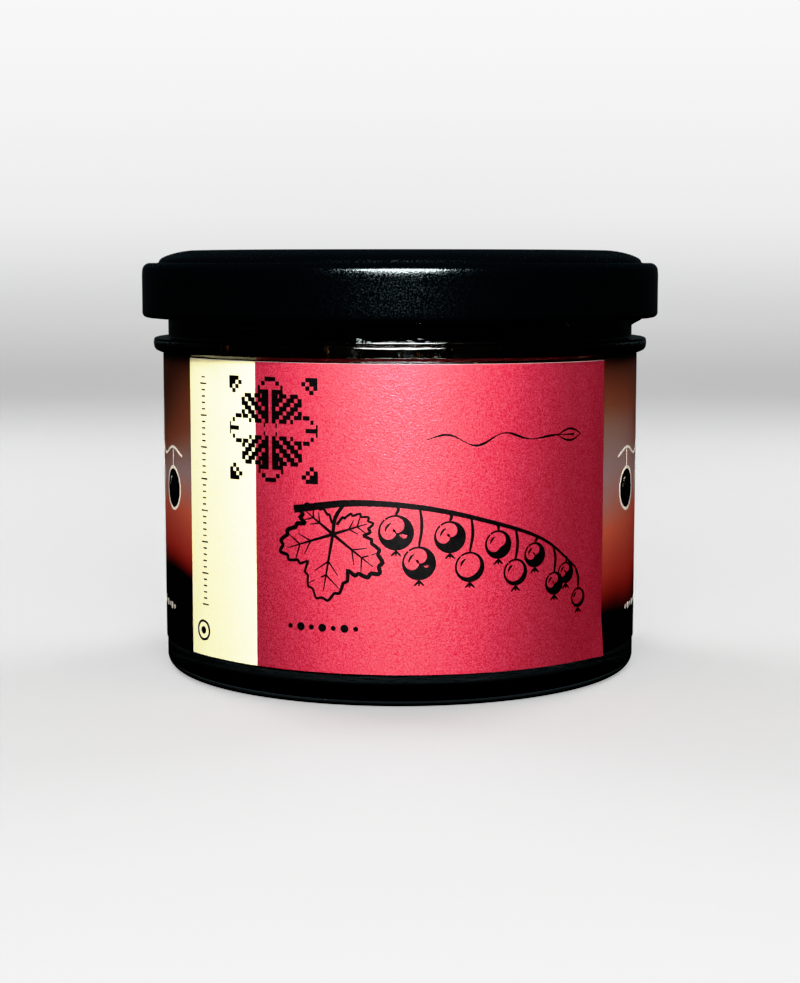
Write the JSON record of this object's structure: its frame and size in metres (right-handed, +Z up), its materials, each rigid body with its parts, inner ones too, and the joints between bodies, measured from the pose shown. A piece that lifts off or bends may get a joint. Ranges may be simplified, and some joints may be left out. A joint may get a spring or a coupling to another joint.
{
  "type": "glass jar with twist-off lid",
  "caption": "Squat round glass jar filled with dark cut leaf, with a handling bead, a wrap-around paper front label, a back label and a black metal lug lid that twists off.",
  "frame": {"origin": "on the jar's axis, on the surface that it stands on", "axes": "+Z up along the jar's axis, the middle of the front label faces -Y, +X to the viewer's right"},
  "size_m": [0.086, 0.086, 0.0693],
  "materials": {
    "glass": "polished",
    "fill": "satin",
    "gasket": "satin",
    "lid_lacquer": "satin",
    "front_paper": "satin",
    "back_paper": "satin"
  },
  "bodies": {
    "jar": {"jar": "glass", "fill": "fill", "front_label": "front_paper", "back_label": "back_paper"},
    "seal": {"gasket": "gasket"},
    "lid": {"lid": "lid_lacquer"}
  },
  "joints": [
    {"name": "lid_rise", "type": "slide", "parent": "jar", "child": "seal", "axis": [0, 0, 1], "range_m": [0, 0.0042]},
    {"name": "lid_twist", "type": "hinge", "parent": "seal", "child": "lid", "pos_m": [0, 0, 0], "axis": [0, 0, 1], "range_deg": [0, 60]}
  ],
  "couplings": [
    {"joint": "lid_rise", "follows": "lid_twist", "m_per_rad": 0.00401}
  ]
}
